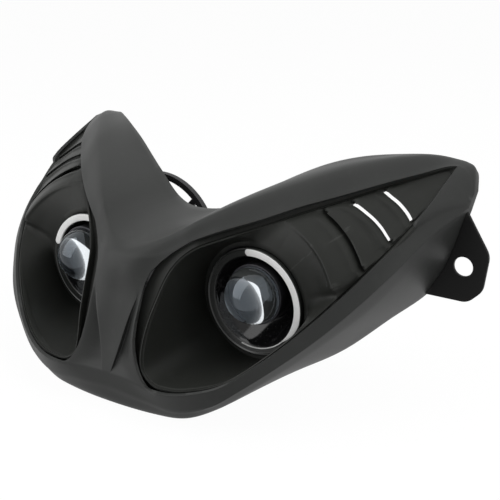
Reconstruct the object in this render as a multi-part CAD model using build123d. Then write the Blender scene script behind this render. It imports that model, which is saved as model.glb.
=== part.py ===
from build123d import *
import math
import os

# Twin headlight for a scooter: one moulded outer mask, two inner panels with louvres
# and two round projector lamps. Millimetres, +Z up, the front faces -Y.
# The pieces are drawn about a point midway between the two lamp rings and are moved
# at the end, so that the origin lies midway between the two mounting holes.

# Walls
SKIN = 2.6
PANEL = 2.2

# Mounting tabs
TAB_Y = 110.0
TAB_THICK = 3.0
TAB_CORNER = 5.0
HOLE_R = 7.5
HOLE_X = 189.0
HOLE_Z = 17.6

# Lamp ring, with the light guide and its board in a groove of its front
LAMP_X = 76.8
RING_R = 40.0
RING_IN = 33.4
RING_DEPTH = 9.0
RING_GAP = 0.8
GUIDE_IN = 34.2
GUIDE_OUT = 39.4
GUIDE_THICK = 2.2
BOARD_THICK = 1.4
GUIDE_FULL = 112.0
GUIDE_TAPER = 32.0
GUIDE_TIP = 0.6
GUIDE_START_RIGHT = 100.0
GUIDE_START_LEFT = 165.0

# Projector, which sits a little high and outward in its ring
PROJECTOR_OUT = 3.4
PROJECTOR_UP = 7.6
LENS_R = 20.5
LENS_FRONT = 3.8
LENS_BASE = 4.0
LENS_LEDGE = 2.0
LEDGE_THICK = 1.5
HOLDER_WALL = 1.6
HOLDER_FRONT = 2.8
HOLDER_REAR = 20.0
HOLDER_RIM_R = 24.3
HOLDER_RIM = 2.0
BOWL_WALL = 1.6
BOWL_FRONT = 1.5
BOWL_RIM = 2.5
BOWL_DEPTH = 12.0
SHIELD_THICK = 1.0
REFLECTOR_R = 22.4
REFLECTOR_NECK = 10.0
REFLECTOR_LEN = 34.0
REFLECTOR_WALL = 1.8
REFLECTOR_STEPS = 8

# Bulb, its retaining ring and its terminals
BULB_R = 5.4
BULB_LEN = 20.0
BULB_BASE_R = 12.5
BULB_BASE = 3.0
PLUG_R = 8.0
PLUG_LEN = 5.0
CLIP_R = 13.5
CLIP_THICK = 0.8
TERMINAL_WIDE = 6.3
TERMINAL_THICK = 0.8
TERMINAL_LEN = 8.0
TERMINAL_APART = 5.0

# Lamp can, the ribs and open ring behind it, and its rear cap
CAN_R = 35.0
CAN_WALL = 2.2
CAN_MOUTH_R = 42.2
CAN_FLANGE_R = 44.0
CAN_FLANGE = 2.5
CAN_STRAIGHT = 38.0
CAN_REAR_R = 27.0
CAN_REAR = 66.0
REAR_RING_R = 55.0
REAR_RING_IN = 50.0
REAR_RING_AT = 88.0
REAR_RING_THICK = 5.0
RIB_COUNT = 4
RIB_WIDE = 5.0
RIB_DEEP = 5.5
RIB_START = 28.0
RIB_LAP = 1.0
CAP_R = 22.0
CAP_WALL = 2.0
CAP_LEN = 16.0
CAP_RIM = 2.0

# Ears that hold the can on the panel, by their angles about the lamp
EARS = [15.0, 75.0]
EAR_R = 50.0
EAR_GAP = 5.0
EAR_SINK = 1.2
EAR_ARM = 12.0
EAR_END_R = 4.2
EAR_BOSS_R = 3.4

# Screws
SCREW_R = 1.5
SCREW_HEAD_R = 2.6
SCREW_HEAD = 2.0
RING_SCREW_R = 38.0
RING_SCREW_LEN = 7.0
RING_SCREWS = 4
EAR_SCREW_LEN = 6.0
PANEL_SCREW_LEN = 8.0
PANEL_HEAD_R = 5.5

# Mask's screw posts on the right side: x, z, front and rear end
POSTS = [(59.3, 56.5, -6, 4), (105.3, 72, 34, 44), (64.3, -53.3, -67, -49), (141, 0.5, -16, -3)]
POST_R = 4.0

# Guide lines of the mask's right half, from the middle out to the wing tip
REAR_TOP = [(0, 42, 48), (25, 49.5, 51), (53, 60.5, 68), (86, 78, 85), (110, 93, 92),
            (135, 113, 93.5), (155, 130, 92), (172, 140, 87), (184, 137, 81), (190, 124, 71)]
CREST = [(0, -38, 41), (12, -36.5, 43), (22, -33, 46.5), (33, -25, 52.5), (43.6, -16, 59.7),
         (63.4, 4.2, 70.5), (91, 33, 82), (115, 58.8, 90.3), (143.6, 95, 95.7), (157, 112, 95),
         (168.6, 127.7, 91.3), (177, 134, 88.4), (184, 131, 84.5), (190, 117, 71)]
BROW = [(0, -52, 35), (15, -49.5, 35.5), (27, -41, 37), (43.6, -27.7, 46.5), (60.4, -15.6, 53.9),
        (81.8, 1.8, 61.4), (102, 20.8, 69.4), (121.6, 42, 75.4), (140.6, 64.7, 81.5),
        (158.3, 91.4, 86), (173.8, 118.7, 88.5), (184, 121, 81), (190, 114, 69)]
FACE_UPPER = [(0, -58, 8), (12, -58.5, 8), (23, -56.9, 8.6), (60, -47, 12), (100, -18, 34),
              (140, 25, 57), (165, 62, 70), (180, 97, 73), (190, 111, 67)]
FACE_LOWER = [(0, -64, -20), (12, -65, -19), (22.6, -67.4, -17.7), (60, -68, -15), (100, -45, 5),
              (140, 0, 35), (165, 38, 55), (180, 84, 66), (190, 109, 65)]
RIM = [(0, -71, -46), (20, -72, -46.5), (45, -74.5, -48.5), (66.4, -71.5, -46.3),
       (91.3, -60.2, -38.1), (113.4, -45.4, -20.6), (132.6, -27, -1.1), (149.1, -4.1, 19.1),
       (162.2, 26, 39.5), (171, 58.4, 55), (180, 82, 62), (190, 107.5, 63.5)]
CREASE = [(0, -71, -57), (30, -71, -59), (58, -67.5, -62.5), (83.5, -61, -54.4),
          (102.5, -52.8, -40.3), (124.8, -38.8, -21.7), (143.5, -19.4, -4), (159.8, 4.1, 15.2),
          (172.8, 35.1, 34.7), (181, 71.4, 51.4), (190, 106, 62)]
KEEL = [(0, -64.5, -73), (40, -62, -72.5), (63.4, -58.5, -69.5), (83.5, -50, -60),
        (102.5, -41, -46), (124.8, -24, -28), (143.5, -2, -11), (159.8, 25, 6.5),
        (172.8, 52, 27), (181, 80, 45), (190, 108, 61)]
REAR_LOW = [(0, -28, -73), (40, -24, -72.5), (63, -15, -69.5), (90, -3, -58), (110, 14, -48),
            (130, 42, -38), (148, 78, -22), (161, 112, -10), (178, 113, 20), (190, 114, 59)]
ROWS = [REAR_TOP, CREST, BROW, FACE_UPPER, FACE_LOWER, RIM, CREASE, KEEL, REAR_LOW]
STATIONS = [0, 10, 20, 31, 43, 57, 72, 88, 104, 120, 136, 150, 162, 172, 180, 186]
TIP_X = 190.0

# Edge of the right opening in the mask, seen from the front
EYE = [(174, 88), (158.5, 85.1), (140.8, 80.6), (121.9, 74.5), (102.3, 68.6), (82.1, 60.6),
       (60.7, 53.1), (44, 45.7), (33.1, 38), (26.4, 26.7), (23.9, 8.5), (23.1, -10),
       (25, -25.5), (30.3, -37.9), (36.5, -45.2), (45, -47.6), (66.2, -45.4), (90.9, -37.3),
       (112.8, -19.9), (131.9, -0.5), (148.4, 19.6), (161.4, 39.9), (170.2, 58.3),
       (173.6, 74.1)]
EYE_REAR = 121.0

# Raised line of the right inner panel: from the wing tip along the brow and down the
# nose, then round the chin corner and back along the rim
BEAD = [(171.5, 115.5, 84.3), (158, 93.5, 82.2), (140, 67.5, 77), (121.5, 43.5, 70.2),
        (102, 21.5, 63.5), (81.8, 2, 55), (62, -16, 47.5), (46.8, -31, 40.3), (37.7, -42, 27.9),
        (33.3, -54, 7.9), (30.8, -62.5, -9.7), (29.6, -67.5, -27), (31.5, -69, -38),
        (38, -69.5, -44.5), (47, -70, -46.5), (66.4, -67.5, -44.5), (91, -56.4, -36.5),
        (112.8, -41.5, -18.8), (131.5, -23, 1), (147.5, 0.8, 21.6), (160.2, 31.3, 41.6),
        (168.6, 62.5, 58.8), (171.8, 93, 73)]
PANEL_SEAT = 3.0
SEAT_WIDE = 3.0
FLANGE_WIDE = 12.0
FLANGE_BACK = 13.5
FLANGE_NOSE = 7.5
FLANGE_TAPER = 0.9
REAR_SHARES = [0.2, 0.4, 0.6, 0.8]
POCKET_LINES = 72
DISH = 1.3

# Louvres of an inner panel: arcs about the lamp's axis, after two plain steps. Each has
# its radius, the share of the way to the bead where it is cut short, and its slot's angles
PLAIN_STEPS = [(55.0, 0.3), (72.0, 0.6)]
LOUVRES = [(83.0, 0.86, 24, 60), (92.0, 0.91, 29, 54), (101.0, 0.96, 31, 48)]
LOUVRE_SLOT = 2.2
LOUVRE_RISE = 2.2
LOUVRE_EDGE = 0.8
LOUVRE_SHARE = 0.03
LOUVRE_FADE = 5.0

FAR = 300.0


def unit(a, b):
    length = math.hypot(a, b)
    return a / length, b / length


def along(points, x):
    """Depth and height on a guide line at x, by a smooth curve through its points."""
    last = len(points) - 2
    i = min(last, sum(1 for p in points[1:] if p[0] < x))
    a, b = points[i], points[i + 1]
    before = points[i - 1] if i else (-points[1][0], *points[1][1:])
    after = points[i + 2] if i < last else b
    span = b[0] - a[0]
    t = (x - a[0]) / span
    blend = (2 * t**3 - 3 * t**2 + 1, t**3 - 2 * t**2 + t, 3 * t**2 - 2 * t**3, t**3 - t**2)
    place = []
    for k in (1, 2):
        slope_a = (b[k] - before[k]) / (b[0] - before[0]) * span
        slope_b = (after[k] - a[k]) / (after[0] - a[0]) * span
        place.append(blend[0] * a[k] + blend[1] * slope_a + blend[2] * b[k] + blend[3] * slope_b)
    return tuple(place)


def move_line(line, distance):
    """Open line in a plane, moved sideways by the distance with its corners mitred."""
    moved = []
    for i, (a, b) in enumerate(line):
        a0, b0 = line[i - 1] if i else (2 * a - line[1][0], 2 * b - line[1][1])
        a1, b1 = line[i + 1] if i < len(line) - 1 else (2 * a - a0, 2 * b - b0)
        first = unit(b0 - b, a - a0)
        second = unit(b - b1, a1 - a)
        na, nb = unit(first[0] + second[0], first[1] + second[1])
        reach = distance / max(0.5, na * first[0] + nb * first[1])
        moved.append((a + na * reach, b + nb * reach))
    return moved


def closed_solid(faces):
    return Solid(Shell(faces))


def mask_form(inset, tip, back):
    """Filled form inside the mask's skin. Its open rear edge is moved back."""
    half = [x for x in STATIONS if x < tip] + [tip]
    profiles = []
    for x in [-x for x in reversed(half[1:])] + half:
        outline = move_line([along(row, abs(x)) for row in ROWS], inset)
        for end in (0, -1):
            outline[end] = (outline[end][0] + back, outline[end][1])
        profiles.append([Vector(x, y, z) for y, z in outline])
    rows = [Spline([profile[i] for profile in profiles]) for i in range(len(ROWS))]
    skin = [Face.make_surface_from_curves(a, b) for a, b in zip(rows, rows[1:] + rows[:1])]
    ends = [Face(Wire.make_polygon(profiles[i], close=True)) for i in (0, -1)]
    return closed_solid(skin + ends)


def eye_prism():
    outline = Spline([(x, EYE_REAR, z) for x, z in EYE], periodic=True)
    return extrude(Face(Wire([outline])), FAR, dir=(0, -1, 0))


def tab():
    """Flat mounting ear with its hole, outside the right wing's rear edge."""
    corners = [(188, 61), (208.5, 29), (205, 1), (194, -9.5), (160, -9.5), (168, 12), (180, 40)]
    plate = Face(Wire.make_polygon([(x, TAB_Y, z) for x, z in corners], close=True))
    plate = extrude(plate, TAB_THICK, dir=(0, -1, 0))
    edges = [plate.edges().filter_by(Axis.Y).sort_by_distance((x, TAB_Y, z))[0]
             for x, z in corners[1:4]]
    plate = fillet(edges, TAB_CORNER)
    hole = Pos(HOLE_X, TAB_Y, HOLE_Z) * Rot(90, 0, 0) * Cylinder(HOLE_R, 4 * TAB_THICK)
    return plate - hole


def outer_mask():
    mask = mask_form(0, TIP_X, 0) - mask_form(SKIN, TIP_X - 3, 6)
    opening = eye_prism()
    ear = tab()
    mask = mask - opening - mirror(opening, Plane.YZ) + ear + mirror(ear, Plane.YZ)
    for x, z, front, rear in POSTS:
        for side in (1, -1):
            mask += along_y(side * x, z, front, rear, POST_R)
    for x, z, front, rear in POSTS:
        for side in (1, -1):
            mask -= along_y(side * x, z, rear - PANEL_SCREW_LEN, rear, SCREW_R)
    return mask


def along_y(x, z, front, rear, radius):
    start = Pos(x, front, z) * Rot(-90, 0, 0)
    return start * Cylinder(radius, rear - front, align=(Align.CENTER, Align.CENTER, Align.MIN))


def pocket_line(x, y, z, steps):
    """Section of the inner panel from its seat round the lamp hole to one bead point.

    Each step is a radius, or a share of the way where that is nearer, and a rise."""
    hole = RING_R + RING_GAP
    start = hole + SEAT_WIDE
    reach = math.hypot(x - LAMP_X, z)
    longest = math.hypot(BEAD[0][0] - LAMP_X, BEAD[0][2])
    far = max(0.0, (reach - start) / (longest - start))
    power = 1 + DISH * far
    line = [(hole, PANEL_SEAT), (start, PANEL_SEAT)]
    for limit, share, rise in steps:
        radius = start + share * (reach - start)
        if radius > limit:
            rise *= min(1.0, (radius - limit) / LOUVRE_FADE)
            share = (limit - start) / (reach - start)
            radius = limit
        else:
            rise = 0
        line.append((radius, PANEL_SEAT + (y - PANEL_SEAT) * share**power - rise))
    line.append((reach, y))
    size = 1 - FLANGE_TAPER * far
    nose = max(0.0, (LAMP_X - x) / reach)
    line.append((reach + FLANGE_WIDE * size, y + (FLANGE_BACK - FLANGE_NOSE * nose**2) * size))
    return line


def front_steps():
    """Steps of a panel's front: each louvre ends low and the next starts with a sharp rise."""
    steps = [(radius, share, 0) for radius, share in PLAIN_STEPS]
    for radius, share, low, high in LOUVRES:
        steps.append((radius, share, 0))
        steps.append((radius + LOUVRE_EDGE, share + LOUVRE_SHARE, LOUVRE_RISE))
    return steps


def pocket_form(thick):
    """Inner panel's moulded form, as rings of smooth lines joined by faces."""
    bead = Spline(BEAD, periodic=True)
    front, rear = [], []
    for i in range(POCKET_LINES):
        p = bead @ (i / POCKET_LINES)
        dx, dz = unit(p.X - LAMP_X, p.Z)
        outer = pocket_line(p.X, p.Y, p.Z, front_steps())
        inner = pocket_line(p.X, p.Y, p.Z, [(FAR, share, 0) for share in REAR_SHARES])
        for lines, line in ((front, outer), (rear, move_line(inner, thick))):
            lines.append([Vector(LAMP_X + dx * r, d, dz * r) for r, d in line])
    rings = [Spline([line[i] for line in front], periodic=True) for i in range(len(front[0]))]
    rings += [Spline([line[-1 - i] for line in rear], periodic=True) for i in range(len(rear[0]))]
    return closed_solid([Face.make_surface_from_curves(a, b)
                         for a, b in zip(rings, rings[1:] + rings[:1])])


def panel_depth(radius, turn):
    """Depth of an inner panel's front at a radius and an angle about the lamp."""
    bead = Spline(BEAD, periodic=True)
    places = [bead @ (i / POCKET_LINES) for i in range(POCKET_LINES)]
    x, z = polar(1, turn)
    place = max(places, key=lambda p: x * unit(p.X - LAMP_X, p.Z)[0] + z * unit(p.X - LAMP_X, p.Z)[1])
    line = pocket_line(place.X, place.Y, place.Z, front_steps())
    i = max(i for i, (r, depth) in enumerate(line[:-2]) if r < radius)
    share = (radius - line[i][0]) / (line[i + 1][0] - line[i][0])
    return line[i][1] + share * (line[i + 1][1] - line[i][1])


def sector(inner_r, outer_r, low, high, depth):
    """Part of a ring about local Z, between two angles, from 0 back to -depth."""
    turn = (low + high) / 2
    half = math.radians((high - low) / 2)
    ring = Cylinder(outer_r, depth) - Cylinder(inner_r, 2 * depth)
    far = 3 * outer_r
    wedge = Polygon([(0, 0), (far * math.cos(half), -far * math.sin(half)),
                     (far, -far * math.sin(half)), (far, far * math.sin(half)),
                     (far * math.cos(half), far * math.sin(half))], align=None)
    wedge = extrude(wedge, depth, both=True)
    return Pos(0, 0, -depth / 2) * Rot(0, 0, turn) * (ring & wedge)


def polar(radius, degrees):
    turn = math.radians(degrees)
    return radius * math.cos(turn), radius * math.sin(turn)


def rod(radius, top, bottom):
    """Cylinder about local Z between two heights."""
    low = (Align.CENTER, Align.CENTER, Align.MIN)
    return Pos(0, 0, bottom) * Cylinder(radius, top - bottom, align=low)


def tube(outer_r, inner_r, top, bottom):
    return rod(outer_r, top, bottom) - rod(inner_r, top + 1, bottom - 1)


def inner_panel():
    panel = pocket_form(PANEL)
    for radius, share, low, high in LOUVRES:
        slot = sector(radius - LOUVRE_SLOT, radius, low, high, FAR)
        panel -= at_lamp(Pos(0, 0, FAR / 2) * slot)
    for x, z, front, rear in POSTS:
        panel -= along_y(x, z, front - FLANGE_BACK, rear + FLANGE_BACK, POST_R)
    rear = PANEL_SEAT + PANEL + EAR_GAP
    for turn in EARS:
        x, z = polar(EAR_R, turn)
        x += LAMP_X
        front = panel_depth(EAR_R, turn) + EAR_SINK
        boss = along_y(x, z, front, rear, EAR_BOSS_R)
        panel += boss - along_y(x, z, front + EAR_SINK, rear, SCREW_R)
    return panel


def revolve_profile(points):
    """Solid of revolution about local Z from (radius, height) points."""
    outline = Face(Wire.make_polygon([(r, 0, z) for r, z in points], close=True))
    return revolve(outline, Axis.Z)


def at_lamp(shape):
    """Places a piece drawn about local Z, front up, at the right lamp."""
    return Pos(LAMP_X, 0, 0) * Rot(90, 0, 0) * shape


def guide_face(start):
    """Crescent outline: full width clockwise from its blunt end, then a taper."""
    full, tip = start - GUIDE_FULL, start - GUIDE_FULL - GUIDE_TAPER
    middle_r = (GUIDE_IN + GUIDE_OUT) / 2
    end_arc = math.degrees((GUIDE_OUT - GUIDE_IN) / 2 / middle_r)
    outer = ThreePointArc(polar(GUIDE_OUT, start), polar(GUIDE_OUT, (start + full) / 2),
                          polar(GUIDE_OUT, full))
    taper = Spline([polar(GUIDE_OUT, full), polar(middle_r + GUIDE_TIP, (full + tip) / 2),
                    polar(GUIDE_IN + GUIDE_TIP, tip)])
    edge = Line(polar(GUIDE_IN + GUIDE_TIP, tip), polar(GUIDE_IN, tip))
    inner = ThreePointArc(polar(GUIDE_IN, tip), polar(GUIDE_IN, (start + tip) / 2),
                          polar(GUIDE_IN, start))
    end = ThreePointArc(polar(GUIDE_IN, start), polar(middle_r, start + end_arc),
                        polar(GUIDE_OUT, start))
    return Face(Wire([outer, taper, edge, inner, end]))


def guide_layer(start, top, thick):
    return Pos(0, 0, top) * extrude(guide_face(start), thick, dir=(0, 0, -1))


def ring_screws(shape):
    """The shape at each screw of the ring."""
    return [Rot(0, 0, 360 / RING_SCREWS * (i + 0.5)) * Pos(RING_SCREW_R, 0, 0) * shape
            for i in range(RING_SCREWS)]


def bezel_ring(start):
    ring = tube(RING_R, RING_IN, 0, -RING_DEPTH)
    ring -= guide_layer(start, 0, GUIDE_THICK + BOARD_THICK)
    for hole in ring_screws(rod(SCREW_R, -RING_DEPTH + RING_SCREW_LEN - CAN_WALL, -RING_DEPTH)):
        ring -= hole
    return ring


def at_projector(shape):
    return Pos(PROJECTOR_OUT, PROJECTOR_UP, 0) * shape


def projector_bowl():
    """Dark dish between the ring and the projector's holder."""
    holder_r = LENS_R + HOLDER_WALL
    low = -BOWL_FRONT - BOWL_RIM

    def cone(shrink):
        top = Pos(0, 0, low) * Circle(RING_IN - shrink)
        bottom = at_projector(Pos(0, 0, -BOWL_DEPTH) * Circle(holder_r + BOWL_WALL - shrink))
        return loft([top, bottom])

    bowl = cone(0) - cone(BOWL_WALL) + tube(RING_IN, RING_IN - BOWL_WALL, -BOWL_FRONT, low)
    sleeve = tube(holder_r + BOWL_WALL, holder_r, -BOWL_DEPTH, -BOWL_DEPTH - BOWL_RIM)
    return bowl + at_projector(sleeve)


def lens():
    dome = Pos(0, 0, LENS_FRONT) * Sphere(LENS_R) & rod(2 * LENS_R, 2 * LENS_R, LENS_FRONT)
    return at_projector(dome + rod(LENS_R, LENS_FRONT, LENS_FRONT - LENS_BASE))


def lens_holder():
    ledge = LENS_FRONT - LENS_BASE
    outer = LENS_R + HOLDER_WALL
    points = [(LENS_R, HOLDER_FRONT), (outer, HOLDER_FRONT), (outer, HOLDER_RIM - HOLDER_REAR),
              (HOLDER_RIM_R, HOLDER_RIM - HOLDER_REAR), (HOLDER_RIM_R, -HOLDER_REAR),
              (LENS_R, -HOLDER_REAR), (LENS_R, ledge - LEDGE_THICK),
              (LENS_R - LENS_LEDGE, ledge - LEDGE_THICK), (LENS_R - LENS_LEDGE, ledge),
              (LENS_R, ledge)]
    return at_projector(revolve_profile(points))


def cutoff_shield():
    """Half disc across the holder that cuts off the top of the beam."""
    disc = rod(LENS_R, SHIELD_THICK - HOLDER_REAR, -HOLDER_REAR)
    upper = Pos(0, LENS_R, -HOLDER_REAR) * Box(4 * LENS_R, 2 * LENS_R, 4 * SHIELD_THICK)
    return at_projector(disc - upper)


def reflector():
    last = math.acos(REFLECTOR_NECK / REFLECTOR_R)
    wall = []
    for i in range(REFLECTOR_STEPS + 1):
        turn = last * i / REFLECTOR_STEPS
        depth = REFLECTOR_LEN * math.sin(turn) / math.sin(last)
        wall.append((REFLECTOR_R * math.cos(turn), -HOLDER_REAR - depth))
    outer = [(r + REFLECTOR_WALL, z) for r, z in wall]
    rim = -HOLDER_REAR - HOLDER_RIM
    points = [(HOLDER_RIM_R, -HOLDER_REAR), (HOLDER_RIM_R, rim)]
    points += [(r, z) for r, z in outer if z < rim] + wall[::-1]
    return at_projector(revolve_profile(points))


def bulb():
    seat = -HOLDER_REAR - REFLECTOR_LEN
    base = rod(BULB_BASE_R, seat, seat - BULB_BASE)
    glass = rod(BULB_R, seat + BULB_LEN, seat) + Pos(0, 0, seat + BULB_LEN) * Sphere(BULB_R)
    rear = seat - BULB_BASE - PLUG_LEN
    shape = base + glass + rod(PLUG_R, seat - BULB_BASE, rear)
    flat = Box(TERMINAL_WIDE, TERMINAL_THICK, TERMINAL_LEN,
               align=(Align.CENTER, Align.CENTER, Align.MAX))
    shape += Pos(0, TERMINAL_APART, rear) * flat
    for side in (1, -1):
        shape += Pos(side * TERMINAL_APART, 0, rear) * Rot(0, 0, 90) * flat
    return at_projector(shape)


def bulb_clip():
    seat = -HOLDER_REAR - REFLECTOR_LEN - BULB_BASE
    return at_projector(tube(CLIP_R, PLUG_R, seat, seat - CLIP_THICK))


def lamp_can():
    top = -PANEL_SEAT - PANEL
    shelf = -RING_DEPTH
    inner = CAN_R - CAN_WALL
    can = revolve_profile([(RING_R, top), (CAN_FLANGE_R, top), (CAN_FLANGE_R, top - CAN_FLANGE),
                           (CAN_MOUTH_R, top - CAN_FLANGE), (CAN_MOUTH_R, shelf - CAN_WALL),
                           (CAN_R, shelf - CAN_WALL), (CAN_R, -CAN_STRAIGHT),
                           (CAN_REAR_R, -CAN_REAR), (CAN_REAR_R - CAN_WALL, -CAN_REAR),
                           (inner, -CAN_STRAIGHT), (inner, shelf), (RING_R, shelf)])
    end = -REAR_RING_AT - REAR_RING_THICK
    can += tube(REAR_RING_R, REAR_RING_IN, -REAR_RING_AT, end)
    rib = Pos(CAN_R - CAN_WALL / 2 + RIB_DEEP / 2, 0, (end - RIB_START) / 2)
    rib = rib * Box(RIB_DEEP, RIB_WIDE, -end - RIB_START)
    spoke = REAR_RING_IN + RIB_LAP - CAN_R
    arm = Box(spoke, RIB_WIDE, REAR_RING_THICK)
    rib += Pos(CAN_R + spoke / 2, 0, end + REAR_RING_THICK / 2) * arm
    for i in range(RIB_COUNT):
        can += Rot(0, 0, 360 / RIB_COUNT * (i + 0.5)) * rib
    face = top - EAR_GAP
    for turn in EARS:
        ear = rod(EAR_END_R, face, face - CAN_FLANGE)
        arm = Pos(-EAR_ARM / 2, 0, face - CAN_FLANGE / 2)
        arm = arm * Box(EAR_ARM, 2 * EAR_END_R, CAN_FLANGE)
        ear = Pos(EAR_R, 0, 0) * (ear + arm - rod(SCREW_R, face + 1, face - CAN_FLANGE - 1))
        can += Rot(0, 0, turn) * ear
    for hole in ring_screws(rod(SCREW_R, shelf, shelf - CAN_WALL)):
        can -= hole
    return can


def rear_cap():
    rim = -CAN_REAR - CAP_RIM
    end = -CAN_REAR - CAP_LEN
    inner = CAP_R - CAP_WALL
    return revolve_profile([(0, end), (CAP_R - CAP_WALL, end), (CAP_R, end + CAP_WALL), (CAP_R, rim),
                            (CAN_REAR_R, rim), (CAN_REAR_R, -CAN_REAR), (inner, -CAN_REAR),
                            (inner, end + CAP_WALL), (0, end + CAP_WALL)])


def screw(length, head_r):
    """Pan-head screw about local Z: its head lies below 0, its shank above."""
    return rod(SCREW_R, length, 0) + rod(head_r, 0, -SCREW_HEAD)


def lamp_screws():
    """Screws of one lamp: those of its ring and those of its ears."""
    low = -RING_DEPTH - CAN_WALL
    screws = ring_screws(Pos(0, 0, low) * screw(RING_SCREW_LEN, SCREW_HEAD_R))
    low = -PANEL_SEAT - PANEL - EAR_GAP - CAN_FLANGE
    for turn in EARS:
        screws.append(Rot(0, 0, turn) * Pos(EAR_R, 0, low) * screw(EAR_SCREW_LEN, SCREW_HEAD_R))
    return screws


def panel_screws():
    pieces = []
    for x, z, front, rear in POSTS:
        piece = Pos(x, rear, z) * Rot(90, 0, 0) * screw(PANEL_SCREW_LEN, PANEL_HEAD_R)
        pieces += [piece, mirror(piece, Plane.YZ)]
    return pieces


def save(node, shape):
    """Writes a node, moved so that the origin lies midway between the mounting holes."""
    export_step(Pos(0, -TAB_Y, -HOLE_Z) * shape, f"parts/{node}.step")


def main():
    os.makedirs("parts", exist_ok=True)
    pieces = {
        "projector_bowl": projector_bowl(),
        "lens": lens(),
        "lens_holder": lens_holder(),
        "cutoff_shield": cutoff_shield(),
        "reflector": reflector(),
        "bulb": bulb(),
        "bulb_clip": bulb_clip(),
        "lamp_can": lamp_can(),
        "rear_cap": rear_cap(),
    }
    for name, shape in pieces.items():
        right = at_lamp(shape)
        save(name + "_right", right)
        save(name + "_left", mirror(right, Plane.YZ))
    for side, start in (("right", GUIDE_START_RIGHT), ("left", GUIDE_START_LEFT)):
        shift = Pos(0 if side == "right" else -2 * LAMP_X, 0, 0)
        save("bezel_ring_" + side, shift * at_lamp(bezel_ring(start)))
        save("light_guide_" + side, shift * at_lamp(guide_layer(start, 0, GUIDE_THICK)))
        board = guide_layer(start, -GUIDE_THICK, BOARD_THICK)
        save("guide_board_" + side, shift * at_lamp(board))
    screws = [at_lamp(piece) for piece in lamp_screws()]
    save("lamp_screws", Compound(screws + [mirror(piece, Plane.YZ) for piece in screws]))
    save("panel_screws", Compound(panel_screws()))
    save("outer_mask", outer_mask())
    panel = inner_panel()
    save("inner_panel_right", panel)
    save("inner_panel_left", mirror(panel, Plane.YZ))


if __name__ == "__main__":
    main()
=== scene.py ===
"""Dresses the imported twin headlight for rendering: mouldings, lamps, screws and stage."""

import math

import bmesh
import bpy
from mathutils import Matrix, Vector


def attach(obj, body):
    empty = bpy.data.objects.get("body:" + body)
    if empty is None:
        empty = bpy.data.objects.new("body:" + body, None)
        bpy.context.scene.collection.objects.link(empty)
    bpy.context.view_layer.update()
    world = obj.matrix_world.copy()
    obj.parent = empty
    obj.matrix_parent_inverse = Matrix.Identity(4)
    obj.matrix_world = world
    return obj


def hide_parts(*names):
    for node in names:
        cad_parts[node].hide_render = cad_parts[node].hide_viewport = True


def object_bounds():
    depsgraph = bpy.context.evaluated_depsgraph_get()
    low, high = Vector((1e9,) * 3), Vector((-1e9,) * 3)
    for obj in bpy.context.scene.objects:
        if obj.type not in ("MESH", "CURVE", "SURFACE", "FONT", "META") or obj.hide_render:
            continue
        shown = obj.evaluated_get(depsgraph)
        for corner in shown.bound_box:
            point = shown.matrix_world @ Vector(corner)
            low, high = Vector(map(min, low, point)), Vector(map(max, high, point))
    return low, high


bl_info = {
    "name": "Twin headlight",
    "version": (1, 0, 0),
    "blender": (4, 5, 0),
    "location": "3D View > Sidebar > Headlight",
    "description": "Builds the looks of a twin headlight round its packed solids",
    "category": "Object",
}

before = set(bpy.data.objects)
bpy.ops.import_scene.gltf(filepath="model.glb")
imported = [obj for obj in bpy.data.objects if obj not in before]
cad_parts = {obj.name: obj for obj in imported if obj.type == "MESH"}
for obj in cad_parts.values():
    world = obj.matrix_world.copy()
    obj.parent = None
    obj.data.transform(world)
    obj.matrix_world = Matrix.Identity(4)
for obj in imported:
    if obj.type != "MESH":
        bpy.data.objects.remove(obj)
CAD_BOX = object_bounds()

# All sizes below are in millimetres, about a point midway between the two lamp rings, and
# this moves them to the row's frame
SHIFT = Vector((0, -110.0, -17.6))
MM = 0.001
LAMP_X = 76.8
SIDES = {"right": 1, "left": -1}

# Guide lines of the mask's right half, from the middle out to the wing tip: x, y, z
REAR_TOP = [(0, 42, 48), (25, 49.5, 51), (53, 60.5, 68), (86, 78, 85), (110, 93, 92),
            (135, 113, 93.5), (155, 130, 92), (172, 140, 87), (184, 137, 81), (190, 124, 71)]
CREST = [(0, -38, 41), (12, -36.5, 43), (22, -33, 46.5), (33, -25, 52.5), (43.6, -16, 59.7),
         (63.4, 4.2, 70.5), (91, 33, 82), (115, 58.8, 90.3), (143.6, 95, 95.7), (157, 112, 95),
         (168.6, 127.7, 91.3), (177, 134, 88.4), (184, 131, 84.5), (190, 117, 71)]
BROW = [(0, -52, 35), (15, -49.5, 35.5), (27, -41, 37), (43.6, -27.7, 46.5), (60.4, -15.6, 53.9),
        (81.8, 1.8, 61.4), (102, 20.8, 69.4), (121.6, 42, 75.4), (140.6, 64.7, 81.5),
        (158.3, 91.4, 86), (173.8, 118.7, 88.5), (184, 121, 81), (190, 114, 69)]
FACE_UPPER = [(0, -58, 8), (12, -58.5, 8), (23, -56.9, 8.6), (60, -47, 12), (100, -18, 34),
              (140, 25, 57), (165, 62, 70), (180, 97, 73), (190, 111, 67)]
FACE_LOWER = [(0, -64, -20), (12, -65, -19), (22.6, -67.4, -17.7), (60, -68, -15), (100, -45, 5),
              (140, 0, 35), (165, 38, 55), (180, 84, 66), (190, 109, 65)]
RIM = [(0, -71, -46), (20, -72, -46.5), (45, -74.5, -48.5), (66.4, -71.5, -46.3),
       (91.3, -60.2, -38.1), (113.4, -45.4, -20.6), (132.6, -27, -1.1), (149.1, -4.1, 19.1),
       (162.2, 26, 39.5), (171, 58.4, 55), (180, 82, 62), (190, 107.5, 63.5)]
CREASE = [(0, -71, -57), (30, -71, -59), (58, -67.5, -62.5), (83.5, -61, -54.4),
          (102.5, -52.8, -40.3), (124.8, -38.8, -21.7), (143.5, -19.4, -4), (159.8, 4.1, 15.2),
          (172.8, 35.1, 34.7), (181, 71.4, 51.4), (190, 106, 62)]
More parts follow.
